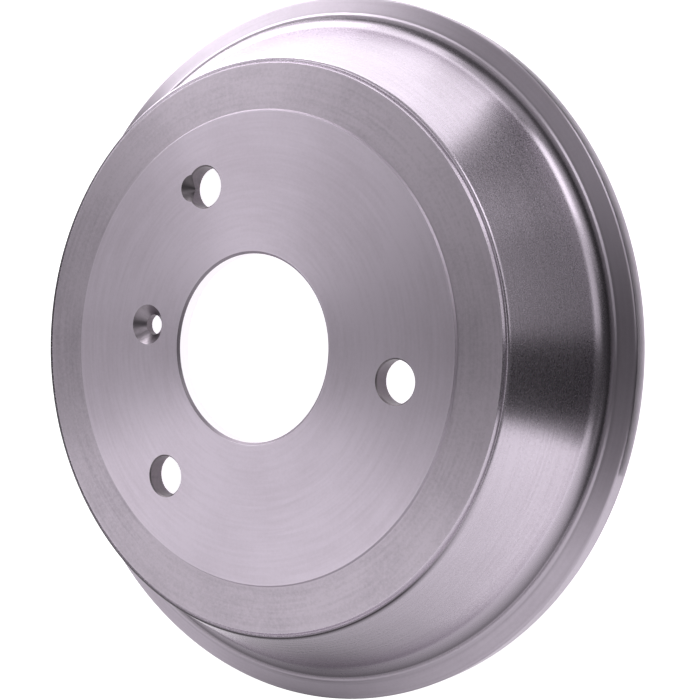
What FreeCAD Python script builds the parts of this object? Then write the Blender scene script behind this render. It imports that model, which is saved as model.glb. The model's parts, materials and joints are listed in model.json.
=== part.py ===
import FreeCAD, Part
import math
import os

# Sizes in millimetres. The drum stands on its open rim at z = 0, its axis is Z,
# and the closed mounting face looks along +Z. Bolt hole 0 lies on +X.

# Overall
height = 39.0
flange_diameter = 235.5
flange_thickness = 7.5

# Web, the closed end that is clamped between wheel and hub
web_thickness = 6.0
bore_diameter = 60.5
bore_chamfer_front = 0.8
bore_chamfer_back = 1.0
disc_diameter = 151.2
disc_rise = 0.7
shoulder_diameter = 182.0

# Turned groove that parts the shoulder from the barrel
edge_groove_width = 1.2
edge_groove_depth = 0.7
edge_groove_floor = 0.2
barrel_crest_drop = 0.2
barrel_crest_radius = 0.25

# Tapered barrel and the hollow sweep at its root
barrel_taper = 29.0
root_diameter = 220.0
root_height = 9.7
root_slope = 10.0
root_radius = 4.7

# Flange: root groove, sloping inner band, flat outer band
root_groove_width = 0.9
root_groove_depth = 0.8
root_groove_floor = 0.45
band_diameter = 226.4
band_rise = 1.1
flange_edge_radius = 0.8
flange_back_chamfer = 1.0

# Wheel bolts
bolt_circle_diameter = 112.0
bolt_count = 3
bolt_hole_diameter = 13.5
bolt_hole_chamfer = 0.4

# Countersunk locating screw, midway between two bolt holes
screw_angle = 180.0
screw_circle_diameter = 89.6
screw_hole_diameter = 6.8
screw_head_diameter = 13.4
screw_head_angle = 90.0

# Drill point that broke into the edge of bolt hole 1
drill_mark_hole = 1
drill_mark_offset = 5.6
drill_mark_turn = 71.2
drill_mark_diameter = 8.8
drill_mark_angle = 90.0

# Inside: lining track, run-out relief, web floor and hub seat
track_diameter = 180.0
track_lead_in = 1.5
relief_depth = 0.6
relief_length = 3.0
corner_radius = 4.0
floor_drop = 1.0
hub_seat_diameter = 142.0
hub_seat_radius = 0.5

# Ring groove in the open rim for the lip of the backing plate
lip_groove_outer_diameter = 215.0
lip_groove_width = 8.5
lip_groove_depth = 6.0
lip_groove_radius = 1.5
rim_edge_chamfer = 0.5

# Length by which a cutting tool passes its face
overrun = 1.0

# Heights that follow from the sizes above
shoulder_height = height - disc_rise
crest_height = shoulder_height - barrel_crest_drop
seat_height = height - web_thickness
floor_height = seat_height - floor_drop


def slope(degrees):
    return math.tan(math.radians(degrees))


# A corner (radius, height, rounding) becomes an arc tangent to both of its sides
def rounded_corner(before, corner, after):
    here = FreeCAD.Vector(corner[0], 0, corner[1])
    back = (FreeCAD.Vector(before[0], 0, before[1]) - here).normalize()
    ahead = (FreeCAD.Vector(after[0], 0, after[1]) - here).normalize()
    half_angle = back.getAngle(ahead) / 2
    reach = corner[2] / math.tan(half_angle)
    middle = (back + ahead).normalize()
    centre = here + middle * (corner[2] / math.sin(half_angle))
    return here + back * reach, centre - middle * corner[2], here + ahead * reach


# Closed face in the XZ plane through corners given as (radius, height[, rounding])
def section(corners):
    count = len(corners)
    runs = []
    for index, corner in enumerate(corners):
        if len(corner) == 3:
            before = corners[index - 1]
            after = corners[(index + 1) % count]
            runs.append(rounded_corner(before, corner, after))
        else:
            runs.append((FreeCAD.Vector(corner[0], 0, corner[1]),))
    edges = []
    for index, run in enumerate(runs):
        if len(run) == 3:
            edges.append(Part.Arc(*run).toShape())
        start = run[-1]
        end = runs[(index + 1) % count][0]
        if start.distanceToPoint(end) > 1e-6:
            edges.append(Part.LineSegment(start, end).toShape())
    return Part.Face(Part.Wire(edges))


def revolved(corners):
    axis_point = FreeCAD.Vector(0, 0, 0)
    axis = FreeCAD.Vector(0, 0, 1)
    return section(corners).revolve(axis_point, axis, 360)


def radius(diameter):
    return diameter / 2


# Mounting disc, low step down to the shoulder, and the groove at its edge
def front_corners():
    bore = radius(bore_diameter)
    disc = radius(disc_diameter)
    shoulder = radius(shoulder_diameter)
    groove_side = (edge_groove_width - edge_groove_floor) / 2
    groove_height = shoulder_height - edge_groove_depth
    return [
        (bore, height - bore_chamfer_front),
        (bore + bore_chamfer_front, height),
        (disc, height),
        (disc + disc_rise, shoulder_height),
        (shoulder, shoulder_height),
        (shoulder + groove_side, groove_height),
        (shoulder + groove_side + edge_groove_floor, groove_height),
        (shoulder + edge_groove_width, crest_height, barrel_crest_radius),
    ]


# Point where the tapered barrel would meet the straight end of its root sweep
def barrel_foot():
    crest = radius(shoulder_diameter) + edge_groove_width
    root = radius(root_diameter)
    taper = slope(barrel_taper)
    fall = slope(root_slope)
    drop = crest_height - root_height - fall * root
    foot_radius = (crest + taper * drop) / (1 - taper * fall)
    return foot_radius, root_height + fall * (root - foot_radius)


# Tapered barrel, hollow sweep, root groove and the flange down to its back edge
def outer_corners():
    foot_radius, foot_height = barrel_foot()
    root = radius(root_diameter)
    groove_side = (root_groove_width - root_groove_floor) / 2
    band_height = flange_thickness + band_rise
    groove_height = band_height - root_groove_depth
    outer = radius(flange_diameter)
    return [
        (foot_radius, foot_height, root_radius),
        (root, root_height),
        (root + groove_side, groove_height),
        (root + groove_side + root_groove_floor, groove_height),
        (root + root_groove_width, band_height),
        (radius(band_diameter), flange_thickness),
        (outer, flange_thickness, flange_edge_radius),
        (outer, flange_back_chamfer),
        (outer - flange_back_chamfer, 0),
    ]


# Open rim with its ring groove, the lining track and the inside of the web
def inner_corners():
    lip_outer = radius(lip_groove_outer_diameter)
    lip_inner = lip_outer - lip_groove_width
    track = radius(track_diameter)
    relief = track + relief_depth
    relief_height = floor_height - corner_radius - relief_length
    seat = radius(hub_seat_diameter)
    bore = radius(bore_diameter)
    return [
        (lip_outer + rim_edge_chamfer, 0),
        (lip_outer, rim_edge_chamfer),
        (lip_outer, lip_groove_depth, lip_groove_radius),
        (lip_inner, lip_groove_depth, lip_groove_radius),
        (lip_inner, rim_edge_chamfer),
        (lip_inner - rim_edge_chamfer, 0),
        (track + track_lead_in, 0),
        (track, track_lead_in),
        (track, relief_height),
        (relief, relief_height + relief_depth),
        (relief, floor_height, corner_radius),
        (seat, floor_height),
        (seat, seat_height, hub_seat_radius),
        (bore + bore_chamfer_back, seat_height),
        (bore, seat_height + bore_chamfer_back),
    ]


def turned_body():
    return revolved(front_corners() + outer_corners() + inner_corners())


def on_circle(diameter, degrees):
    angle = math.radians(degrees)
    reach = radius(diameter)
    return FreeCAD.Vector(reach * math.cos(angle), reach * math.sin(angle), 0)


# Tool for a sink whose mouth of the given diameter lies in the mounting face
def sink_tool(mouth_diameter, cone_angle):
    mouth = radius(mouth_diameter)
    fall = mouth / slope(cone_angle / 2)
    top = mouth + overrun * slope(cone_angle / 2)
    return Part.makeCone(0, top, fall + overrun, FreeCAD.Vector(0, 0, height - fall))


# Tool for a through hole with its two edges broken
def bolt_hole_tool():
    hole = radius(bolt_hole_diameter)
    mouth = hole + bolt_hole_chamfer
    low = seat_height - overrun
    shank = Part.makeCylinder(hole, web_thickness + 2 * overrun, FreeCAD.Vector(0, 0, low))
    wide = mouth + overrun
    reach = bolt_hole_chamfer + overrun
    front = Part.makeCone(hole, wide, reach, FreeCAD.Vector(0, 0, height - bolt_hole_chamfer))
    back = Part.makeCone(wide, hole, reach, FreeCAD.Vector(0, 0, low))
    return shank.multiFuse([front, back])


def bolt_angle(index):
    return 360.0 / bolt_count * index


def bolt_holes():
    tools = []
    for index in range(bolt_count):
        tool = bolt_hole_tool()
        tool.translate(on_circle(bolt_circle_diameter, bolt_angle(index)))
        tools.append(tool)
    return tools


def screw_hole():
    low = FreeCAD.Vector(0, 0, seat_height - overrun)
    shank = Part.makeCylinder(radius(screw_hole_diameter), web_thickness + 2 * overrun, low)
    tool = shank.fuse(sink_tool(screw_head_diameter, screw_head_angle))
    tool.translate(on_circle(screw_circle_diameter, screw_angle))
    return tool


def drill_mark():
    hole_angle = bolt_angle(drill_mark_hole)
    tool = sink_tool(drill_mark_diameter, drill_mark_angle)
    tool.translate(on_circle(bolt_circle_diameter, hole_angle))
    tool.translate(on_circle(2 * drill_mark_offset, hole_angle + drill_mark_turn))
    return tool


def brake_drum():
    tools = bolt_holes() + [screw_hole(), drill_mark()]
    return turned_body().cut(tools)


def export(node, shape):
    solid = shape.Solids[0]
    if len(shape.Solids) != 1 or not solid.isValid():
        raise RuntimeError(node + " is not one valid solid")
    solid.exportStep(os.path.join("parts", node + ".step"))
    box = solid.optimalBoundingBox(False, False)
    print(node, "x %.2f y %.2f z %.2f" % (box.XLength, box.YLength, box.ZLength),
          "volume %.0f" % solid.Volume, "faces %d" % len(solid.Faces))


os.makedirs("parts", exist_ok=True)
export("brake_drum", brake_drum())
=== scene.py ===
"""Turned brake drum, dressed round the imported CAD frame.

Lengths are metres in the row frame: the drum stands on its open rim at z = 0, its axis
is Z and the mounting face looks along +Z. Bolt hole 0 lies on +X.
"""
import json
import logging
import math
from abc import ABC, abstractmethod
from collections.abc import Iterable, Sequence
from dataclasses import dataclass, field
from enum import Enum
from typing import Any

import bpy
from mathutils import Matrix, Vector


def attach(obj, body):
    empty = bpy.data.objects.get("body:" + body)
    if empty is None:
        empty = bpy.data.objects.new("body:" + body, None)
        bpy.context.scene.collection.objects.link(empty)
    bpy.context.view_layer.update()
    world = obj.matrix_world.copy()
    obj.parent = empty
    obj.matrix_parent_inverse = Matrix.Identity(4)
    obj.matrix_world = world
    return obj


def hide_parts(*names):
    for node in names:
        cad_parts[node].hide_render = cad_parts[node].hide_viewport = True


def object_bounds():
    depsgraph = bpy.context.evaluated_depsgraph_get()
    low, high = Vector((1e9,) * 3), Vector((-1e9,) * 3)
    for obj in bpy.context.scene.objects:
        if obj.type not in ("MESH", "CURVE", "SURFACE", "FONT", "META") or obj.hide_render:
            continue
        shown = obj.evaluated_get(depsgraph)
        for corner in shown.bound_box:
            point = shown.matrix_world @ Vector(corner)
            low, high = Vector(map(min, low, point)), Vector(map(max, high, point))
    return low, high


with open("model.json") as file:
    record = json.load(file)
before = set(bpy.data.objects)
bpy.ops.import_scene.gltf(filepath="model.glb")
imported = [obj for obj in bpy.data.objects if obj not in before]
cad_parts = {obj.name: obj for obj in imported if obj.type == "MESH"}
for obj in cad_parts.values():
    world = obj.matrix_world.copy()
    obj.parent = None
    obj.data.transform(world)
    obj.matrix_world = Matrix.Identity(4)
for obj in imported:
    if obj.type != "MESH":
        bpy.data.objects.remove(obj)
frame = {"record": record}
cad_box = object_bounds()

LOG = logging.getLogger("brake_drum_scene")
BODY = "root"
NODE = "brake_drum"
MILLIMETRE = 0.001
SHARP_ANGLE = math.radians(32)
FACE_WEIGHT = 80
MERGE_DISTANCE = 2e-6
QUARTER_TURN = 0.25
IMAGE_RIGHT = 11.17
WEAR = "wear"
ZONE = "zone"

Material = bpy.types.Material
Node = bpy.types.Node
Piece = bpy.types.Object
Socket = bpy.types.NodeSocket
Tree = bpy.types.NodeTree
Triple = tuple[float, float, float]


class Zone(Enum):
    """Surface of the drum that carries one finish."""

    DISC = 0
    SHOULDER = 1
    BARREL = 2
    SWEEP = 3
    FLANGE = 4
    GROOVE = 5
    RIM = 6
    TRACK = 7
    WEB = 8
    BORE = 9
    DRILLED = 10
    EDGE = 11
    SUNK = 12
    STEP = 13


class Sheet:
    """Short calls that build a node tree, for shapes and for finishes."""

    def __init__(self, tree: Tree) -> None:
        """Keeps the tree that the calls add to."""
        self.tree = tree

    def feed(self, socket: Socket, value: Any) -> None:
        """Links a socket to another one, or sets its value.

        Args:
            socket: The input to feed.
            value: The socket or the plain value that goes in.
        """
        if isinstance(value, Socket):
            self.tree.links.new(value, socket)
        else:
            socket.default_value = value

    def add(self, kind: str, inputs: dict[Any, Any] | None = None,
            **settings: Any) -> Node:
        """Adds a node.

        Args:
            kind: The node's type.
            inputs: Values or sockets, by input name or number.
            settings: The node's own properties.

        Returns:
            The new node.
        """
        node = self.tree.nodes.new(kind)
        for name, value in settings.items():
            setattr(node, name, value)
        for key, value in (inputs or {}).items():
            self.feed(node.inputs[key], value)
        return node

    def output(self, kind: str, inputs: dict[Any, Any] | None = None,
               **settings: Any) -> Socket:
        """Adds a node and returns its first output."""
        return self.add(kind, inputs, **settings).outputs[0]

    def math(self, operation: str, *values: Any, clamp: bool = False) -> Socket:
        """Returns the result of a Math node on one to three values."""
        inputs = dict(enumerate(values))
        return self.output("ShaderNodeMath", inputs, operation=operation, use_clamp=clamp)

    def vector_math(self, operation: str, *values: Any) -> Socket:
        """Returns the vector that a Vector Math node gives."""
        return self.output("ShaderNodeVectorMath", dict(enumerate(values)), operation=operation)

    def vector_value(self, operation: str, *values: Any) -> Socket:
        """Returns the number that a Vector Math node gives, such as a length."""
        node = self.add("ShaderNodeVectorMath", dict(enumerate(values)), operation=operation)
        return node.outputs["Value"]

    def join(self, x: Any, y: Any, z: Any) -> Socket:
        """Returns a vector made of three values."""
        return self.output("ShaderNodeCombineXYZ", {0: x, 1: y, 2: z})

    def split(self, vector: Any) -> Sequence[Socket]:
        """Returns the three values of a vector."""
        return self.add("ShaderNodeSeparateXYZ", {0: vector}).outputs

    def around(self, reach: Any, angle: Socket, height: Any) -> Socket:
        """Returns the place at a distance from the axis, an angle and a height."""
        return self.join(self.math("MULTIPLY", reach, self.math("COSINE", angle)),
                         self.math("MULTIPLY", reach, self.math("SINE", angle)), height)

    def stored(self, name: str, kind: str) -> Socket:
        """Returns the field of a named attribute."""
        return self.output("GeometryNodeInputNamedAttribute", {"Name": name}, data_type=kind)

    def store(self, shape: Socket, name: str, value: Socket, kind: str, domain: str) -> Socket:
        """Returns the geometry with a field stored under a name."""
        inputs = {"Geometry": shape, "Name": name, "Value": value}
        return self.output("GeometryNodeStoreNamedAttribute", inputs, data_type=kind, domain=domain)

    def sample(self, shape: Socket, index: Socket, value: Socket, kind: str) -> Socket:
        """Returns a field's value at the geometry's point of that index."""
        inputs = {"Geometry": shape, "Value": value, "Index": index}
        return self.output("GeometryNodeSampleIndex", inputs, data_type=kind, domain="POINT")

    def swing(self, pattern: Any, amount: float) -> Socket:
        """Returns how far a pattern is from its middle, one half, times an amount."""
        return self.math("MULTIPLY", self.math("SUBTRACT", pattern, 0.5), amount)

    def stretch(self, value: Any, low: float, high: float,
                to_low: float, to_high: float) -> Socket:
        """Returns value moved from one range to another and kept inside it."""
        inputs = {0: value, 1: low, 2: high, 3: to_low, 4: to_high}
        return self.output("ShaderNodeMapRange", inputs)

    def noise(self, place: Any, scale: float, detail: float, roughness: float = 0.5) -> Socket:
        """Returns a noise pattern that goes from 0 to 1."""
        inputs = {"Vector": place, "Scale": scale, "Detail": detail, "Roughness": roughness}
        return self.output("ShaderNodeTexNoise", inputs)

    def switch(self, mask: Any, first: Any, second: Any) -> Socket:
        """Returns a colour that goes from first to second as mask goes from 0 to 1."""
        # Inputs 6 and 7 and output 2 are the node's colours
        inputs = {"Factor": mask, 6: first, 7: second}
        return self.add("ShaderNodeMix", inputs, data_type="RGBA").outputs[2]

    def glow(self, level: Any) -> Socket:
        """Returns a shader that glows white at a level."""
        return self.output("ShaderNodeEmission", {"Strength": level})

    def show(self, shader: Socket) -> None:
        """Makes a shader the material's surface."""
        self.feed(self.tree.nodes["Material Output"].inputs["Surface"], shader)


def mount(name: str) -> dict[str, Any]:
    """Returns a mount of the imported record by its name."""
    return next(entry for entry in frame["record"]["mounts"] if entry["name"] == name)


def mount_radius(name: str) -> float:
    """Returns a bore mount's radius in metres."""
    return mount(name)["dims"]["r_mm"] * MILLIMETRE


def in_frame(bearing: float) -> float:
    """Returns in radians a bearing given in degrees from the image's right side."""
    return math.radians(bearing + IMAGE_RIGHT)


def on_circle(radius: float, angle: float) -> Vector:
    """Returns the 2-D point of a circle round the axis at an angle in radians."""
    return Vector((radius * math.cos(angle), radius * math.sin(angle)))


def new_object(name: str, data: bpy.types.ID) -> Piece:
    """Puts a new object into the scene.

    Args:
        name: The object's name.
        data: Its mesh, lamp or camera.

    Returns:
        The object.
    """
    piece = bpy.data.objects.new(name, data)
    bpy.context.scene.collection.objects.link(piece)
    return piece


def new_material(name: str) -> tuple[Material, Sheet]:
    """Starts a node material.

    Args:
        name: The material's name.

    Returns:
        The material and the sheet to build it on.
    """
    material = bpy.data.materials.new(name)
    material.use_nodes = True
    return material, Sheet(material.node_tree)


def keep_evaluated(piece: Piece) -> None:
    """Makes what a piece's modifiers give its plain mesh.

    Args:
        piece: The piece, which is left without modifiers.
    """
    graph = bpy.context.evaluated_depsgraph_get()
    mesh = bpy.data.meshes.new_from_object(piece.evaluated_get(graph), depsgraph=graph)
    piece.modifiers.clear()
    piece.data = mesh


def soften(piece: Piece) -> None:
    """Shades a piece smooth up to its sharp edges, with its flat faces kept flat.

    Args:
        piece: The piece.
    """
    piece.data.shade_smooth()
    piece.data.set_sharp_from_angle(angle=SHARP_ANGLE)
    modifier = piece.modifiers.new("face_weight", "WEIGHTED_NORMAL")
    modifier.keep_sharp = True
    modifier.weight = FACE_WEIGHT
    keep_evaluated(piece)


@dataclass(frozen=True)
class Corner:
    """Corner of a turned outline, with the zone of the surface that follows it."""

    radius: float
    height: float
    zone: Zone
    rounding: float = 0.00012

    def place(self) -> Vector:
        """Returns the corner as a 2-D point."""
        return Vector((self.radius, self.height))


def sharp(radius: float, height: float, zone: Zone = Zone.DRILLED) -> Corner:
    """Returns a corner without rounding, as a cutting tool has it."""
    return Corner(radius, height, zone, 0.0)


@dataclass(frozen=True)
class OutlinePoint:
    """Point of a finished outline."""

    radius: float
    height: float
    wear: float
    zone: Zone


@dataclass
class Outline:
    """Closed outline of a turned piece, with arcs at its corners.

    The corners run so that the metal is on the right-hand side of the way along them. A
    stretch gets a guard point near each end, unless it is shorter than shortest_run guards.
    """

    corners: Sequence[Corner]
    arc_step: float = math.radians(6)
    arc_share: float = 0.98
    fewest_steps: int = 2
    guard: float = 0.0005
    shortest_run: float = 2.5
    longest_run: float = 0.006

    def _side(self, index: int, other: int) -> Vector:
        """Returns the way from one corner to another."""
        total = len(self.corners)
        return self.corners[other % total].place() - self.corners[index % total].place()

    def _wanted(self, index: int) -> float:
        """Returns how far a corner's arc would run along each of its sides."""
        half = self._side(index, index - 1).angle(self._side(index, index + 1)) / 2
        return self.corners[index % len(self.corners)].rounding / math.tan(half)

    def _arc(self, index: int) -> list[Vector]:
        """Rounds one corner, with its arc kept clear of its neighbours' arcs.

        Args:
            index: The corner's number.

        Returns:
            The points of the arc, or the corner alone where it stays sharp.
        """
        here = self.corners[index].place()
        if self.corners[index].rounding <= 0:
            return [here]
        wanted = self._wanted(index)
        reach = wanted
        ways = []
        for other in (index - 1, index + 1):
            side = self._side(index, other)
            ways.append(side.normalized())
            room = wanted * self.arc_share * side.length
            reach = min(reach, room / (wanted + self._wanted(other)))
        back, ahead = ways
        half = back.angle(ahead) / 2
        radius = reach * math.tan(half)
        centre = here + (back + ahead).normalized() * (radius / math.sin(half))
        start = here + back * reach - centre
        turn = start.angle_signed(here + ahead * reach - centre)
        count = max(self.fewest_steps, math.ceil(abs(turn) / self.arc_step))
        steps = [Matrix.Rotation(-turn * step / count, 2) for step in range(count + 1)]
        return [centre + step @ start for step in steps]

    def _run(self, start: Vector, end: Vector, zone: Zone) -> list[OutlinePoint]:
        """Divides a straight stretch, with a guard near each end.

        Args:
            start: The end of the arc before it.
            end: The start of the arc after it.
            zone: The zone of its surface.

        Returns:
            The points between the two.
        """
        length = (end - start).length
        if length < self.shortest_run * self.guard:
            return []
        inner = length - 2 * self.guard
        count = max(1, math.ceil(inner / self.longest_run))
        spots = [self.guard + inner * step / count for step in range(count + 1)]
        places = [start.lerp(end, spot / length) for spot in spots]
        return [OutlinePoint(place.x, place.y, 0.0, zone) for place in places]

    def points(self) -> list[OutlinePoint]:
        """Works out the outline.

        Returns:
            Its points in order, each with the zone of the stretch after it.
        """
        total = len(self.corners)
        arcs = [self._arc(index) for index in range(total)]
        result = []
        for index, corner in enumerate(self.corners):
            arc = arcs[index]
            result += [OutlinePoint(place.x, place.y, 1.0, corner.zone) for place in arc]
            result += self._run(arc[-1], arcs[(index + 1) % total][0], corner.zone)
        return result


def shape_tree(name: str, inputs: Iterable[tuple[str, str, Any]]
               ) -> tuple[Sheet, Node, Node]:
    """Starts a Geometry Nodes tree.

    Args:
        name: The tree's name.
        inputs: Name, socket type and default value of each input after the geometry.

    Returns:
        The sheet to build on, the input node and the output node.
    """
    tree = bpy.data.node_groups.new(name, "GeometryNodeTree")
    tree.interface.new_socket("Geometry", in_out="INPUT", socket_type="NodeSocketGeometry")
    for label, kind, default in inputs:
        socket = tree.interface.new_socket(label, in_out="INPUT", socket_type=kind)
        if default is not None:
            socket.default_value = default
    tree.interface.new_socket("Geometry", in_out="OUTPUT", socket_type="NodeSocketGeometry")
    return Sheet(tree), tree.nodes.new("NodeGroupInput"), tree.nodes.new("NodeGroupOutput")


def bake_tree(piece: Piece, tree: Tree, values: dict[str, Any]) -> None:
    """Runs a Geometry Nodes tree on a piece and keeps the result as its plain mesh.

    Args:
        piece: The object that the tree works on.
        tree: The tree.
        values: The tree's input values by name.
    """
    modifier = piece.modifiers.new(tree.name, "NODES")
    modifier.node_group = tree
    for item in tree.interface.items_tree:
        if item.in_out == "INPUT" and item.name in values:
            modifier[item.identifier] = values[item.name]
    keep_evaluated(piece)


@dataclass
class Lathe:
    """Turns an outline round the Z axis into a closed mesh."""

    segments: int = 224
    tree: Tree = field(init=False)

    def __post_init__(self) -> None:
        """Builds the tree once for every outline."""
        self.tree = self._build()

    def _build(self) -> Tree:
        """Builds a grid whose rows are the outline at each angle, closed and merged.

        Returns:
            The tree.
        """
        inputs = [("Segments", "NodeSocketInt", self.segments)]
        sheet, source, result = shape_tree("turn_outline", inputs)
        outline = source.outputs["Geometry"]
        segments = source.outputs["Segments"]
        size = sheet.add("GeometryNodeAttributeDomainSize", {"Geometry": outline}, component="MESH")
        count = size.outputs["Point Count"]
        rows = sheet.math("ADD", count, 1)
        columns = sheet.math("ADD", segments, 1)
        grid = sheet.output("GeometryNodeMeshGrid", {"Vertices X": columns, "Vertices Y": rows})
        index = sheet.output("GeometryNodeInputIndex")
        along = sheet.math("MODULO", sheet.math("MODULO", index, rows), count)
        column = sheet.math("FLOOR", sheet.math("DIVIDE", sheet.math("ADD", index, 0.5), rows))
        angle = sheet.math("DIVIDE", sheet.math("MULTIPLY", column, math.tau), segments)
        position = sheet.output("GeometryNodeInputPosition")
        parts = sheet.split(sheet.sample(outline, along, position, "FLOAT_VECTOR"))
        place = sheet.around(parts[0], angle, parts[2])
        shape = sheet.output("GeometryNodeSetPosition", {"Geometry": grid, "Position": place})
        wear = sheet.sample(outline, along, sheet.stored(WEAR, "FLOAT"), "FLOAT")
        shape = sheet.store(shape, WEAR, wear, "FLOAT", "POINT")
        face = sheet.math("MODULO", index, count)
        zone = sheet.sample(outline, face, sheet.stored(ZONE, "INT"), "INT")
        shape = sheet.store(shape, ZONE, zone, "INT", "FACE")
        closed = {"Geometry": shape, "Distance": MERGE_DISTANCE}
        shape = sheet.output("GeometryNodeMergeByDistance", closed)
        shape = sheet.output("GeometryNodeFlipFaces", {"Mesh": shape})
        shape = sheet.output("GeometryNodeRealizeInstances", {"Geometry": shape})
        sheet.feed(result.inputs[0], self._paint(sheet, shape))
        return sheet.tree

    def _paint(self, sheet: Sheet, shape: Socket) -> Socket:
        """Gives all faces the disc's finish, and then each other zone's faces their own.

        Args:
            sheet: The sheet of the tree.
            shape: The geometry.

        Returns:
            The painted geometry.
        """
        stored = sheet.stored(ZONE, "INT")
        for zone in Zone:
            inputs = {"Geometry": shape, "Material": FINISHES[zone].material()}
            if zone is not Zone.DISC:
                # Inputs 2 and 3 are the node's integers
                pair = {2: stored, 3: zone.value}
                inputs["Selection"] = sheet.output("FunctionNodeCompare", pair,
                                                   data_type="INT", operation="EQUAL")
            shape = sheet.output("GeometryNodeSetMaterial", inputs)
        return shape

    def turn(self, name: str, outline: Outline, segments: int | None = None) -> Piece:
        """Makes a turned piece.

        Args:
            name: The new object's name.
            outline: The outline to turn.
            segments: Steps round the axis, or None for the lathe's own number.

        Returns:
            The piece, a plain closed mesh.
        """
        points = outline.points()
        mesh = bpy.data.meshes.new(name)
        edges = [(index, (index + 1) % len(points)) for index in range(len(points))]
        mesh.from_pydata([(point.radius, 0.0, point.height) for point in points], edges, [])
        wear = mesh.attributes.new(WEAR, "FLOAT", "POINT")
        wear.data.foreach_set("value", [point.wear for point in points])
        zone = mesh.attributes.new(ZONE, "INT", "POINT")
        zone.data.foreach_set("value", [point.zone.value for point in points])
        piece = new_object(name, mesh)
        bake_tree(piece, self.tree, {"Segments": segments or self.segments})
        return piece


@dataclass
class Drill:
    """Cuts a tool out of a piece at evenly spaced places on a circle."""

    tree: Tree = field(init=False)

    def __post_init__(self) -> None:
        """Builds the tree once for every tool."""
        self.tree = self._build()

    def _build(self) -> Tree:
        """Sets the tool as instances on a circle, makes them real and cuts them away.

        Returns:
            The tree.
        """
        sheet, source, result = shape_tree("drill_on_circle", [
            ("Tool", "NodeSocketObject", None),
            ("Count", "NodeSocketInt", 1),
            ("Circle Radius", "NodeSocketFloat", 0.05),
            ("First Angle", "NodeSocketFloat", 0.0),
        ])
        given = source.outputs
        index = sheet.output("GeometryNodeInputIndex")
        step = sheet.math("DIVIDE", math.tau, given["Count"])
        angle = sheet.math("ADD", sheet.math("MULTIPLY", index, step), given["First Angle"])
        place = sheet.around(given["Circle Radius"], angle, 0.0)
        spots = sheet.output("GeometryNodePoints", {"Count": given["Count"], "Position": place})
        tool = sheet.add("GeometryNodeObjectInfo", {"Object": given["Tool"]}).outputs["Geometry"]
        copies = sheet.output("GeometryNodeInstanceOnPoints", {"Points": spots, "Instance": tool})
        real = sheet.output("GeometryNodeRealizeInstances", {"Geometry": copies})
        cut = sheet.output("GeometryNodeMeshBoolean", {"Mesh 1": given["Geometry"], "Mesh 2": real},
                           operation="DIFFERENCE", solver="EXACT")
        sheet.feed(result.inputs[0], cut)
        return sheet.tree

    def cut(self, piece: Piece, tool: Piece, reach: float, angle: float, count: int = 1) -> None:
        """Cuts the tool out of the piece.

        Args:
            piece: The piece to cut.
            tool: The tool, which stands on the Z axis and is used up.
            reach: Radius of the circle that the tool's axis stands on.
            angle: Angle of the first place, in radians.
            count: Number of places.
        """
        values = {"Tool": tool, "Count": count, "Circle Radius": reach, "First Angle": angle}
        bake_tree(piece, self.tree, values)
        bpy.data.objects.remove(tool)


@dataclass
class Workshop:
    """The lathe and the drill that make the drum."""

    lathe: Lathe = field(default_factory=Lathe)
    drill: Drill = field(default_factory=Drill)


@dataclass(frozen=True)
class PaintedShadeRing:
    """Painted shade in a ring round the axis, which fades out towards its lit side.

    The radii first, darkest and last are where it starts, peaks and ends. The lit side is
    the stretch of the cosine to the lit bearing on which it fades out.
    """

    first: float
    darkest: float
    last: float
    share: float
    lit_bearing: float
    lit_side: tuple[float, float]


@dataclass(frozen=True)
class Ground:
    """What the tone, the gloss and the relief of a finish are built on."""

    sheet: Sheet
    shader: Node
    place: Socket
    rings: Socket
    grain: Socket


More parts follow.
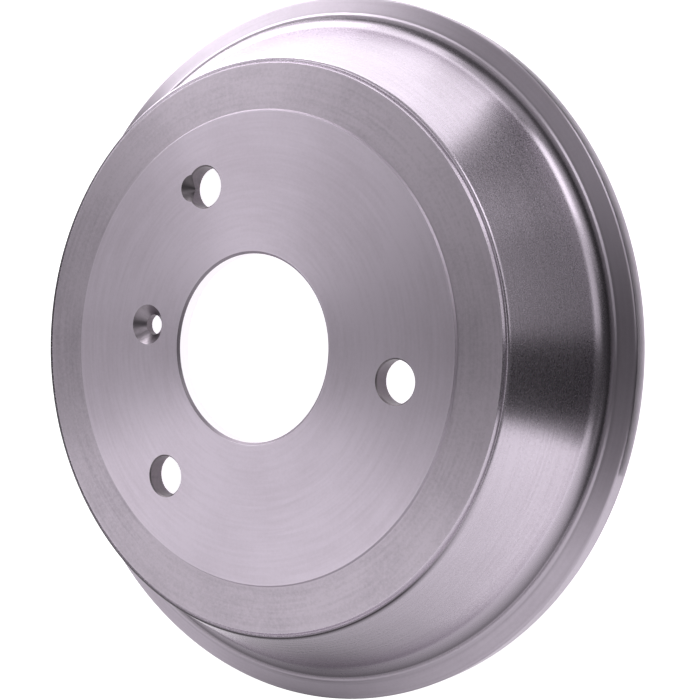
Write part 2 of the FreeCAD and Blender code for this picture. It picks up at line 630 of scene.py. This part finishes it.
@dataclass(frozen=True)
class TurnedFinish:
    """Bare cast iron as a lathe leaves it: rings round the axis, pores and bright edges.

    Where set, rings of painted shade darken its grooves, except on the lit side.
    """

    name: str
    colour: Triple = (0.62, 0.55, 0.64)
    shade: Triple = (0.52, 0.455, 0.53)
    metallic: float = 1.0
    roughness: float = 0.36
    anisotropy: float = 0.65
    detail: float = 3.0
    ring_pitch: float = 0.0011
    ring_turn: float = 3.0
    ring_depth: float = 0.00001
    ring_tone: float = 1.1
    ring_gloss: float = 0.06
    grain_size: float = 0.0009
    grain_detail: float = 4.0
    grain_roughness: float = 0.65
    grain_depth: float = 0.000012
    grain_tone: float = 0.8
    grain_gloss: float = 0.08
    stain_scale: float = 28.0
    stain_range: tuple[float, float] = (0.35, 0.7)
    stain_tone: float = 0.6
    edge_gain: float = 0.5
    # The next fields lay painted shade: dark rings round the grooves, faded out on the lit side
    painted_shade: float = 0.0
    painted_shade_tone: Triple = (0.05, 0.042, 0.05)
    painted_shade_rings: tuple[PaintedShadeRing, ...] = (
        PaintedShadeRing(0.0914, 0.0923, 0.0932, 1.6, math.radians(56), (-0.15, 0.5)),
        PaintedShadeRing(0.1062, 0.11, 0.1112, 1.15, math.radians(146), (0.55, 0.98)),
        PaintedShadeRing(0.1119, 0.1124, 0.113, 0.3, math.radians(146), (0.55, 0.98)),
    )

    def material(self) -> Material:
        """Builds the finish on first use.

        Returns:
            The node material.
        """
        known = bpy.data.materials.get(self.name)
        if known:
            return known
        material, sheet = new_material(self.name)
        place = sheet.add("ShaderNodeTexCoord").outputs["Object"]
        grain = sheet.noise(place, 1.0 / self.grain_size, self.grain_detail, self.grain_roughness)
        ground = Ground(sheet, material.node_tree.nodes["Principled BSDF"], place,
                        self._rings(sheet, place), grain)
        self._colour(ground)
        self._gloss(ground)
        self._relief(ground)
        return material

    @staticmethod
    def _polar(sheet: Sheet, place: Socket) -> tuple[Socket, Socket]:
        """Returns a place's distance from the axis and its direction from there."""
        flat = sheet.vector_math("MULTIPLY", place, (1.0, 1.0, 0.0))
        return sheet.vector_value("LENGTH", flat), sheet.vector_math("NORMALIZE", flat)

    def _rings(self, sheet: Sheet, place: Socket) -> Socket:
        """Makes the tool's marks: fine across the rings, long round the axis.

        Args:
            sheet: The material's sheet.
            place: Where the surface is.

        Returns:
            The pattern.
        """
        reach, way = self._polar(sheet, place)
        turn = sheet.output("ShaderNodeVectorMath", {0: way, "Scale": self.ring_turn},
                            operation="SCALE")
        depth = sheet.math("SUBTRACT", reach, sheet.split(place)[2])
        along = sheet.math("DIVIDE", depth, self.ring_pitch)
        spread = sheet.vector_math("ADD", turn, sheet.join(0.0, 0.0, along))
        return sheet.noise(spread, 1.0, self.detail)

    def _painted_shade(self, sheet: Sheet, place: Socket) -> Socket:
        """Lays the painted shade of every ring.

        Args:
            sheet: The material's sheet.
            place: Where the surface is.

        Returns:
            How much painted shade lies there, from 0 to 1.
        """
        reach, way = self._polar(sheet, place)
        total = 0.0
        for ring in self.painted_shade_rings:
            darkest = self.painted_shade * ring.share
            inner = sheet.stretch(reach, ring.first, ring.darkest, 0.0, darkest)
            outer = sheet.stretch(reach, ring.darkest, ring.last, darkest, 0.0)
            lit = (math.cos(ring.lit_bearing), math.sin(ring.lit_bearing), 0.0)
            facing = sheet.vector_value("DOT_PRODUCT", way, lit)
            kept = sheet.stretch(facing, *ring.lit_side, 1.0, 0.0)
            layer = sheet.math("MULTIPLY", sheet.math("MINIMUM", inner, outer), kept)
            total = sheet.math("MAXIMUM", total, layer)
        return total

    def _colour(self, ground: Ground) -> None:
        """Mixes the tone from grain, rings and slow stains, and lightens worn edges.
        Where set, it darkens the grooves with painted shade.

        Args:
            ground: What the finish is built on.
        """
        sheet = ground.sheet
        stain = sheet.noise(ground.place, self.stain_scale, self.detail)
        tone = sheet.math("ADD", sheet.swing(ground.grain, self.grain_tone),
                          sheet.swing(ground.rings, self.ring_tone))
        stained = sheet.stretch(stain, *self.stain_range, 0.0, self.stain_tone)
        tone = sheet.math("ADD", tone, stained)
        wear = sheet.add("ShaderNodeAttribute", attribute_name=WEAR).outputs["Fac"]
        bright = sheet.math("MULTIPLY", wear, self.edge_gain)
        tone = sheet.math("SUBTRACT", tone, bright, clamp=True)
        colour = sheet.switch(tone, (*self.colour, 1), (*self.shade, 1))
        # Painted shade: the grooves and the root sweep go darker, except towards the lit side
        if self.painted_shade > 0:
            colour = sheet.switch(self._painted_shade(sheet, ground.place), colour, (*self.painted_shade_tone, 1))
        sheet.feed(ground.shader.inputs["Base Color"], colour)

    def _gloss(self, ground: Ground) -> None:
        """Sets the roughness, stretched across the rings as turned metal shines.

        Args:
            ground: What the finish is built on.
        """
        sheet = ground.sheet
        inputs = ground.shader.inputs
        rough = sheet.math("ADD", sheet.swing(ground.rings, self.ring_gloss), self.roughness)
        rough = sheet.math("ADD", rough, sheet.swing(ground.grain, self.grain_gloss))
        sheet.feed(inputs["Roughness"], rough)
        inputs["Metallic"].default_value = self.metallic
        inputs["Anisotropic"].default_value = self.anisotropy
        inputs["Anisotropic Rotation"].default_value = QUARTER_TURN
        if self.anisotropy > 0:
            around = sheet.vector_math("CROSS_PRODUCT", (0.0, 0.0, 1.0), ground.place)
            sheet.feed(inputs["Tangent"], sheet.vector_math("NORMALIZE", around))

    def _relief(self, ground: Ground) -> None:
        """Raises the grain and the rings as bump.

        Args:
            ground: What the finish is built on.
        """
        low = ground.sheet.output("ShaderNodeBump", {
            "Strength": 1.0, "Distance": self.grain_depth, "Height": ground.grain})
        high = ground.sheet.output("ShaderNodeBump", {
            "Strength": 1.0, "Distance": self.ring_depth, "Height": ground.rings, "Normal": low})
        ground.sheet.feed(ground.shader.inputs["Normal"], high)


# Barrel, sweep, flange and groove lay rings of painted shade in their grooves
FINISHES: dict[Zone, TurnedFinish] = {
    Zone.DISC: TurnedFinish("disc_fine_turned", roughness=0.36, grain_depth=0.000006),
    Zone.SHOULDER: TurnedFinish(
        "shoulder_turned", colour=(0.53, 0.47, 0.54), shade=(0.39, 0.345, 0.40),
        roughness=0.42, grain_tone=1.6, grain_depth=0.00002),
    Zone.BARREL: TurnedFinish(
        "barrel_turned", roughness=0.27, anisotropy=0.75, grain_depth=0.000003, painted_shade=0.7),
    Zone.SWEEP: TurnedFinish(
        "sweep_turned", roughness=0.27, anisotropy=0.62, grain_depth=0.000002, painted_shade=0.7),
    # The flange's tone is darker than the disc's as painted shade
    Zone.FLANGE: TurnedFinish(
        "flange_turned_painted_shade", colour=(0.5, 0.445, 0.515), shade=(0.41, 0.36, 0.42),
        roughness=0.38, anisotropy=0.75, grain_depth=0.000004, painted_shade=0.7),
    Zone.GROOVE: TurnedFinish(
        "groove_turned", colour=(0.55, 0.49, 0.56), shade=(0.42, 0.37, 0.43),
        roughness=0.4, anisotropy=0.7, edge_gain=0.0, grain_depth=0.000002, painted_shade=0.7),
    Zone.RIM: TurnedFinish("rim_turned", roughness=0.38, anisotropy=0.5),
    Zone.TRACK: TurnedFinish("track_bored", roughness=0.3, anisotropy=0.7),
    Zone.WEB: TurnedFinish("web_turned", roughness=0.44, anisotropy=0.4),
    # The bore's near-white tone is painted light, far brighter than the same iron elsewhere
    Zone.BORE: TurnedFinish(
        "bore_painted_light", colour=(0.98, 0.96, 0.985), shade=(0.93, 0.9, 0.935),
        roughness=0.35, anisotropy=0.4),
    Zone.EDGE: TurnedFinish(
        "edge_broken", colour=(0.3, 0.265, 0.305), shade=(0.2, 0.175, 0.205),
        roughness=0.5, anisotropy=0.2, edge_gain=0.0),
    # The step takes a darker tone than the disc to dim its highlight: painted shade
    Zone.STEP: TurnedFinish(
        "step_turned_painted_shade", colour=(0.5, 0.445, 0.515), shade=(0.4, 0.355, 0.41),
        roughness=0.5, anisotropy=0.4, edge_gain=0.0),
    # Hole walls and the countersink take a far darker tone than the same iron: painted shade
    Zone.DRILLED: TurnedFinish(
        "hole_drilled_painted_shade", colour=(0.16, 0.14, 0.155), shade=(0.1, 0.09, 0.1),
        roughness=0.4, anisotropy=0.0, edge_gain=0.3),
    Zone.SUNK: TurnedFinish(
        "sink_drilled_painted_shade", colour=(0.28, 0.245, 0.28), shade=(0.15, 0.13, 0.15),
        roughness=0.3, anisotropy=0.0, edge_gain=0.3),
}


@dataclass
class DrumBody:
    """The turned casting with its outline, from the mounting face round the flange to the web."""

    height: float = cad_box[1].z
    flange_radius: float = cad_box[1].x
    bore_radius: float = mount_radius("hub_bore")
    track_radius: float = mount_radius("lining_track")
    seat_height: float = mount("hub_seat")["pos_m"][2]
    flange_thickness: float = 0.0075
    bore_chamfer_front: float = 0.0008
    bore_chamfer_back: float = 0.001
    disc_radius: float = 0.0756
    disc_rise: float = 0.0007
    disc_step: float = 0.0005
    shoulder_radius: float = 0.0907
    edge_groove_width: float = 0.0016
    edge_groove_depth: float = 0.0009
    edge_groove_inner: float = 0.0006
    edge_groove_floor: float = 0.0002
    crest_drop: float = 0.0002
    crest_rounding: float = 0.0022
    taper: float = math.radians(27.4)
    root_radius: float = 0.1106
    root_height: float = 0.0084
    root_slope: float = math.radians(5)
    sweep_rounding: float = 0.0059
    root_rounding: float = 0.001
    bead_radius: float = 0.1114
    bead_height: float = 0.0085
    bead_rounding: float = 0.0006
    band_radius: float = 0.1121
    band_height: float = 0.008
    band_rounding: float = 0.0006
    flange_fall: float = 0.0005
    flange_edge_rounding: float = 0.0008
    flange_back_chamfer: float = 0.001
    track_lead_in: float = 0.0015
    relief_depth: float = 0.0006
    relief_length: float = 0.003
    corner_rounding: float = 0.004
    floor_drop: float = 0.001
    hub_seat_radius: float = 0.071
    hub_seat_rounding: float = 0.0005
    lip_outer_radius: float = 0.1075
    lip_groove_width: float = 0.0085
    lip_groove_depth: float = 0.006
    lip_groove_rounding: float = 0.0015
    rim_chamfer: float = 0.0005

    @property
    def shoulder_height(self) -> float:
        """Height of the shoulder ring outside the mounting disc."""
        return self.height - self.disc_rise

    @property
    def crest_height(self) -> float:
        """Height at which the tapered barrel starts."""
        return self.shoulder_height - self.crest_drop

    def _front(self) -> list[Corner]:
        """Lays out the mounting disc, the shoulder and its edge groove.

        Returns:
            Their corners.
        """
        floor = self.shoulder_height - self.edge_groove_depth
        shoulder = self.shoulder_radius
        foot = shoulder + self.edge_groove_inner
        crest = shoulder + self.edge_groove_width
        return [
            Corner(self.bore_radius, self.height - self.bore_chamfer_front, Zone.EDGE),
            Corner(self.bore_radius + self.bore_chamfer_front, self.height, Zone.DISC),
            Corner(self.disc_radius, self.height, Zone.STEP),
            Corner(self.disc_radius + self.disc_step, self.shoulder_height, Zone.SHOULDER),
            Corner(shoulder, self.shoulder_height, Zone.BARREL),
            Corner(foot, floor, Zone.GROOVE),
            Corner(foot + self.edge_groove_floor, floor, Zone.GROOVE),
            Corner(crest, self.crest_height, Zone.BARREL, self.crest_rounding),
        ]

    def _barrel_foot(self) -> tuple[float, float]:
        """Finds where the barrel's cone would meet the straight end of the root sweep.

        Returns:
            The radius and the height.
        """
        crest = self.shoulder_radius + self.edge_groove_width
        spread = math.tan(self.taper)
        fall = math.tan(self.root_slope)
        drop = self.crest_height - self.root_height - fall * self.root_radius
        radius = (crest + spread * drop) / (1 - spread * fall)
        return radius, self.root_height + fall * (self.root_radius - radius)

    def _outside(self) -> list[Corner]:
        """Lays out the root sweep, the bead and the flange.

        Returns:
            Their corners.
        """
        outer = self.flange_radius
        edge_height = self.flange_thickness - self.flange_fall
        return [
            Corner(*self._barrel_foot(), Zone.SWEEP, self.sweep_rounding),
            Corner(self.root_radius, self.root_height, Zone.GROOVE, self.root_rounding),
            Corner(self.bead_radius, self.bead_height, Zone.FLANGE, self.bead_rounding),
            Corner(self.band_radius, self.band_height, Zone.FLANGE, self.band_rounding),
            Corner(outer, edge_height, Zone.FLANGE, self.flange_edge_rounding),
            Corner(outer, self.flange_back_chamfer, Zone.RIM),
            Corner(outer - self.flange_back_chamfer, 0.0, Zone.RIM),
        ]

    def _inside(self) -> list[Corner]:
        """Lays out the open rim, the lining track and the web's inner side.

        Returns:
            Their corners.
        """
        lip_outer = self.lip_outer_radius
        lip_inner = lip_outer - self.lip_groove_width
        lip_depth = self.lip_groove_depth
        floor = self.seat_height - self.floor_drop
        relief = self.track_radius + self.relief_depth
        relief_height = floor - self.corner_rounding - self.relief_length
        return [
            Corner(lip_outer + self.rim_chamfer, 0.0, Zone.RIM),
            Corner(lip_outer, self.rim_chamfer, Zone.RIM),
            Corner(lip_outer, lip_depth, Zone.RIM, self.lip_groove_rounding),
            Corner(lip_inner, lip_depth, Zone.RIM, self.lip_groove_rounding),
            Corner(lip_inner, self.rim_chamfer, Zone.RIM),
            Corner(lip_inner - self.rim_chamfer, 0.0, Zone.RIM),
            Corner(self.track_radius + self.track_lead_in, 0.0, Zone.TRACK),
            Corner(self.track_radius, self.track_lead_in, Zone.TRACK),
            Corner(self.track_radius, relief_height, Zone.WEB),
            Corner(relief, relief_height + self.relief_depth, Zone.WEB),
            Corner(relief, floor, Zone.WEB, self.corner_rounding),
            Corner(self.hub_seat_radius, floor, Zone.WEB),
            Corner(self.hub_seat_radius, self.seat_height, Zone.WEB, self.hub_seat_rounding),
            Corner(self.bore_radius + self.bore_chamfer_back, self.seat_height, Zone.EDGE),
            Corner(self.bore_radius, self.seat_height + self.bore_chamfer_back, Zone.BORE),
        ]

    def build(self, lathe: Lathe) -> Piece:
        """Returns the turned body without its holes."""
        return lathe.turn("drum_casting", Outline(self._front() + self._outside() + self._inside()))


@dataclass
class WebCut(ABC):
    """What a turned tool takes out of the web, running over the faces that it passes."""

    reach: float = 0.0
    angle: float = 0.0
    count: int = 1
    segments: int = 64
    overrun: float = 0.001

    @abstractmethod
    def sketch(self, body: DrumBody) -> tuple[str, list[Corner]]:
        """Returns the name of its tool and the tool's corners, from the top down."""

    def make(self, drum: Piece, body: DrumBody, shop: Workshop) -> None:
        """Cuts it out of the drum.

        Args:
            drum: The piece to cut.
            body: The sizes of the turned body.
            shop: What makes the tool and cuts with it.
        """
        name, corners = self.sketch(body)
        tool = shop.lathe.turn(name, Outline(corners), self.segments)
        shop.drill.cut(drum, tool, self.reach, self.angle, self.count)


@dataclass
class WheelBoltHoles(WebCut):
    """Plain holes for the wheel bolts, with both edges broken."""

    reach: float = mount("wheel_bolts")["dims"]["pcd_mm"] / 2 * MILLIMETRE
    count: int = mount("wheel_bolts")["dims"]["count"]
    hole_radius: float = mount("wheel_bolts")["dims"]["hole_r_mm"] * MILLIMETRE
    chamfer: float = 0.0004

    def sketch(self, body: DrumBody) -> tuple[str, list[Corner]]:
        """Lays out the tool.

        Args:
            body: The sizes of the turned body.

        Returns:
            The tool's name and its corners, from the top down.
        """
        wide = self.hole_radius + self.chamfer + self.overrun
        top = body.height + self.overrun
        low = body.seat_height - self.overrun
        return "wheel_bolt_drill", [
            sharp(0.0, top),
            sharp(wide, top),
            sharp(self.hole_radius, body.height - self.chamfer),
            sharp(self.hole_radius, body.seat_height + self.chamfer),
            sharp(wide, low),
            sharp(0.0, low),
        ]


@dataclass
class ScrewHole(WebCut):
    """Countersunk hole for the locating screw, midway between two bolt holes."""

    reach: float = abs(mount("locating_screw")["pos_m"][0])
    angle: float = math.pi
    hole_radius: float = mount_radius("locating_screw")
    head_radius: float = 0.0067

    def sketch(self, body: DrumBody) -> tuple[str, list[Corner]]:
        """Lays out the tool.

        Args:
            body: The sizes of the turned body.

        Returns:
            The tool's name and its corners, from the top down.
        """
        top = body.height + self.overrun
        low = body.seat_height - self.overrun
        return "screw_drill", [
            sharp(0.0, top, Zone.SUNK),
            sharp(self.head_radius + self.overrun, top, Zone.SUNK),
            sharp(self.hole_radius, body.height - (self.head_radius - self.hole_radius)),
            sharp(self.hole_radius, low),
            sharp(0.0, low),
        ]


@dataclass
class DrillMark(WebCut):
    """Point of a drill that broke into the edge of bolt hole 1."""

    segments: int = 48
    hole: int = 1
    offset: float = 0.0056
    turn: float = math.radians(71.2)
    mouth_radius: float = 0.0044

    def __post_init__(self) -> None:
        """Works out the place from the bolt hole that the drill broke into."""
        holes = WheelBoltHoles()
        hole_angle = math.tau / holes.count * self.hole
        centre = on_circle(holes.reach, hole_angle) + on_circle(self.offset, hole_angle + self.turn)
        self.reach = centre.length
        self.angle = math.atan2(centre.y, centre.x)

    def sketch(self, body: DrumBody) -> tuple[str, list[Corner]]:
        """Lays out the tool.

        Args:
            body: The sizes of the turned body.

        Returns:
            The tool's name and its corners, from the top down.
        """
        top = body.height + self.overrun
        return "drill_point", [
            sharp(0.0, top),
            sharp(self.mouth_radius + self.overrun, top),
            sharp(0.0, body.height - self.mouth_radius),
        ]


@dataclass
class BrakeDrum:
    """The whole drum as one dressed piece."""

    body: DrumBody = field(default_factory=DrumBody)
    cuts: tuple[WebCut, ...] = field(
        default_factory=lambda: (WheelBoltHoles(), ScrewHole(), DrillMark()))

    def build(self) -> Piece:
        """Builds the drum and sets it in the frame in the CAD node's place.

        Returns:
            The finished piece.
        """
        shop = Workshop()
        drum = self.body.build(shop.lathe)
        for cut in self.cuts:
            cut.make(drum, self.body, shop)
        soften(drum)
        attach(drum, BODY)
        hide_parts(NODE)
        return drum


@dataclass(frozen=True)
class SoftBox:
    """One flat panel of soft light that looks at the drum.

    Its bearing, spread, low and high are angles in degrees as the drum's middle sees them.
    """

    name: str
    bearing: float
    spread: float
    low: float
    high: float
    strength: float
    reach: float = 0.9

    def build(self) -> Piece:
        """Hangs the panel.

        Returns:
            The lamp.
        """
        outward = on_circle(1.0, in_frame(self.bearing)).to_3d()
        lift = Vector((0.0, 0.0, 1.0))
        foot = (outward + lift * math.tan(math.radians(self.low))) * self.reach
        head = (outward + lift * math.tan(math.radians(self.high))) * self.reach
        if self.low > 0:
            foot, head = foot.normalized() * self.reach, head.normalized() * self.reach
        middle = (foot + head) / 2
        upward = (head - foot).normalized()
        side = upward.cross(outward).normalized()
        turn = Matrix((side, upward, side.cross(upward))).transposed()
        light = bpy.data.lights.new(self.name, "AREA")
        light.shape = "RECTANGLE"
        light.size = 2 * middle.dot(outward) * math.tan(math.radians(self.spread / 2))
        light.size_y = (head - foot).length
        light.energy = self.strength * math.pi * light.size * light.size_y
        lamp = new_object(self.name, light)
        lamp.matrix_world = Matrix.Translation(middle) @ turn.to_4x4()
        lamp.visible_camera = False
        return lamp


def new_panel(name: str, points: Sequence[Sequence[float]], faces: Sequence[tuple[int, ...]],
              material: Material, reflected_only: bool = True) -> Piece:
    """Makes a flat part of the studio.

    Args:
        name: The new object's name.
        points: The corners of its faces.
        faces: The faces, as numbers of their corners.
        material: What it is made of.
        reflected_only: Whether it is seen in reflections alone and lights nothing.

    Returns:
        The panel.
    """
    mesh = bpy.data.meshes.new(name)
    mesh.from_pydata(points, [], faces)
    mesh.materials.append(material)
    panel = new_object(name, mesh)
    if reflected_only:
        for ray in ("camera", "diffuse", "shadow", "transmission"):
            setattr(panel, "visible_" + ray, False)
    return panel


@dataclass(frozen=True)
class PaintedReflectionCard:
    """Sector of card on the floor, from one bearing to another, for the barrel to reflect.

    It glows at its level in reflections alone: a painted reflection, dark or bright.
    """

    name: str
    first: float
    last: float
    level: float
    inner: float = 0.12
    outer: float = 1.5
    lift: float = 0.0005
    steps: int = 12

    def build(self) -> Piece:
        """Lays the card.

        Returns:
            The card.
        """
        points = []
        for step in range(self.steps + 1):
            bearing = self.first + (self.last - self.first) * step / self.steps
            for reach in (self.inner, self.outer):
                points.append((*on_circle(reach, in_frame(bearing)), self.lift))
        faces = [(low, low + 1, low + 3, low + 2) for low in range(0, 2 * self.steps, 2)]
        material, sheet = new_material(self.name + "_paper")
        # Painted reflection: the sector's glow is all that reflections see of it
        sheet.show(sheet.glow(self.level))
        return new_panel(self.name, points, faces, material)


@dataclass(frozen=True)
class PaintedShadowSideCard:
    """Low card by the drum's lower side, glowing in reflections alone.

    Its glow carries a painted contact shadow, dark where the two nearly touch.
    """

    left: float = -0.3
    right: float = 0.33
    height: float = 0.15
    distance: float = 0.1178
    level: float = 1.0
    fade: float = 0.03
    fade_stretch: float = 1.8

    def build(self) -> Piece:
        """Stands the card up.

        Returns:
            The card.
        """
        turn = Matrix.Rotation(in_frame(0.0), 4, "Z")
        corners = [(self.left, 0.0), (self.right, 0.0),
                   (self.right, self.height), (self.left, self.height)]
        points = [turn @ Vector((across, -self.distance, height)) for across, height in corners]
        return new_panel("side_card", points, [(0, 1, 2, 3)], self._paper())

    def _paper(self) -> Material:
        """Makes the card's glow, which grows with the distance from where it touches.

        The drop in glow near the touch is a painted contact shadow.

        Returns:
            The material.
        """
        material, sheet = new_material("pale_card_painted_shadow")
        place = sheet.add("ShaderNodeTexCoord").outputs["Object"]
        parts = sheet.split(sheet.output("ShaderNodeMapping", {
            "Vector": place, "Rotation": (0.0, 0.0, -in_frame(0.0))}))
        across = sheet.math("DIVIDE", parts[0], self.fade_stretch)
        away = sheet.vector_value("LENGTH", sheet.join(across, parts[2], 0.0))
        # Painted contact shadow: the glow falls off near where the card meets the drum
        shade = sheet.math("EXPONENT", sheet.math("DIVIDE", away, -self.fade))
        level = sheet.math("MULTIPLY", sheet.math("SUBTRACT", 1.0, shade), self.level)
        sheet.show(sheet.glow(level))
        return material


@dataclass
class Studio:
    """White floor, cards, a ring of soft boxes and the camera of the photograph.

    The cards are painted reflections and a painted contact shadow, seen in the drum alone.
    """

    floor_size: float = 20.0
    floor_colour: Triple = (0.9, 0.9, 0.9)
    floor_roughness: float = 0.9
    floor_glow: float = 0.8
    world_colour: Triple = (1.0, 1.0, 1.0)
    world_tone: float = 0.08
    camera_place: Triple = (0.27022, 0.04981, 0.38119)
    camera_right: Triple = (0.81026, 0.14624, -0.56754)
    camera_ahead: Triple = (-0.55786, -0.10442, -0.82334)
    focal_pixels: float = 1371.2
    frame_pixels: float = 700.0
    sensor: float = 36.0
    nearest_seen: float = 0.01
    boxes: tuple[SoftBox, ...] = (
        SoftBox("upper_side_box", 130, 40, 0, 36, 4.2),
        SoftBox("upper_fill", 99, 24, 0, 30, 1.9),
        SoftBox("upper_right_fill", 76, 22, 0, 56, 0.65),
        SoftBox("upper_top_fill", 133, 48, 40, 70, 0.5),
        SoftBox("right_low_fill", 18, 32, 0, 40, 0.75),
        SoftBox("right_high_fill", 49, 30, 0, 7, 0.3),
        SoftBox("right_spot", 45, 24, 6, 34, 2.4),
        SoftBox("right_top_fill", 42, 34, 34, 60, 0.8),
        SoftBox("left_side_box", 200, 20, 0, 40, 2.4),
        SoftBox("left_top_fill", 180, 44, 34, 58, 0.72),
        SoftBox("left_top_box", 225, 44, 40, 70, 1.25),
        SoftBox("lower_top_fill", 270, 44, 40, 70, 0.8),
        SoftBox("lower_right_top_fill", 312, 40, 40, 66, 0.5),
        SoftBox("lower_fill", 290, 60, 0, 40, 0.35),
    )
    # Painted reflections: a dark and a bright floor sector, and the side card's painted shadow
    cards: tuple[PaintedReflectionCard | PaintedShadowSideCard, ...] = (
        PaintedReflectionCard("dark_card", -20, 52, 0.01),
        PaintedReflectionCard("white_card", 66, 150, 1.7),
        PaintedShadowSideCard(),
    )

    def _build_floor(self) -> Piece:
        """Makes the white floor, which keeps the drum's shadow.

        Returns:
            The floor.
        """
        material, sheet = new_material("floor_paper")
        shader = material.node_tree.nodes["Principled BSDF"]
        shader.inputs["Base Color"].default_value = (*self.floor_colour, 1)
        shader.inputs["Roughness"].default_value = self.floor_roughness
        shader.inputs["Specular IOR Level"].default_value = 0.0
        path = sheet.add("ShaderNodeLightPath").outputs
        seen = sheet.math("MAXIMUM", path["Is Camera Ray"], path["Is Glossy Ray"])
        seen = sheet.math("MAXIMUM", seen, path["Is Transmission Ray"])
        glow = sheet.glow(sheet.math("MULTIPLY", seen, self.floor_glow))
        sheet.show(sheet.output("ShaderNodeAddShader", {0: shader.outputs[0], 1: glow}))
        half = self.floor_size / 2
        points = [(-half, -half, 0), (half, -half, 0), (half, half, 0), (-half, half, 0)]
        return new_panel("floor", points, [(0, 1, 2, 3)], material, reflected_only=False)

    def _build_world(self) -> None:
        """Sets the weak even light all round."""
        world = bpy.data.worlds.new("studio_air")
        world.use_nodes = True
        back = world.node_tree.nodes["Background"]
        back.inputs["Color"].default_value = (*self.world_colour, 1)
        back.inputs["Strength"].default_value = self.world_tone
        bpy.context.scene.world = world

    def _build_camera(self) -> None:
        """Sets the camera at the photograph's viewing angle."""
        data = bpy.data.cameras.new("photo_camera")
        data.sensor_width = self.sensor
        data.lens = self.focal_pixels / self.frame_pixels * self.sensor
        data.clip_start = self.nearest_seen
        back = -Vector(self.camera_ahead).normalized()
        right = Vector(self.camera_right)
        right = (right - back * right.dot(back)).normalized()
        turn = Matrix((right, back.cross(right), back)).transposed()
        camera = new_object("photo_camera", data)
        camera.matrix_world = Matrix.Translation(Vector(self.camera_place)) @ turn.to_4x4()
        bpy.context.scene.camera = camera

    def build(self) -> list[Piece]:
        """Builds the whole studio.

        Returns:
            The floor and the cards.
        """
        panels = [self._build_floor()] + [card.build() for card in self.cards]
        self._build_world()
        for box in self.boxes:
            box.build()
        self._build_camera()
        bpy.context.scene.view_settings.view_transform = "Standard"
        return panels


def main() -> None:
    """Builds the drum and its studio, and logs the drum's faces and each panel's name."""
    logging.basicConfig(level=logging.INFO)
    drum = BrakeDrum().build()
    LOG.info("%s: %d faces", drum.name, len(drum.data.polygons))
    for panel in Studio().build():
        LOG.info("%s: stage", panel.name)


if __name__ == "__main__":
    main()
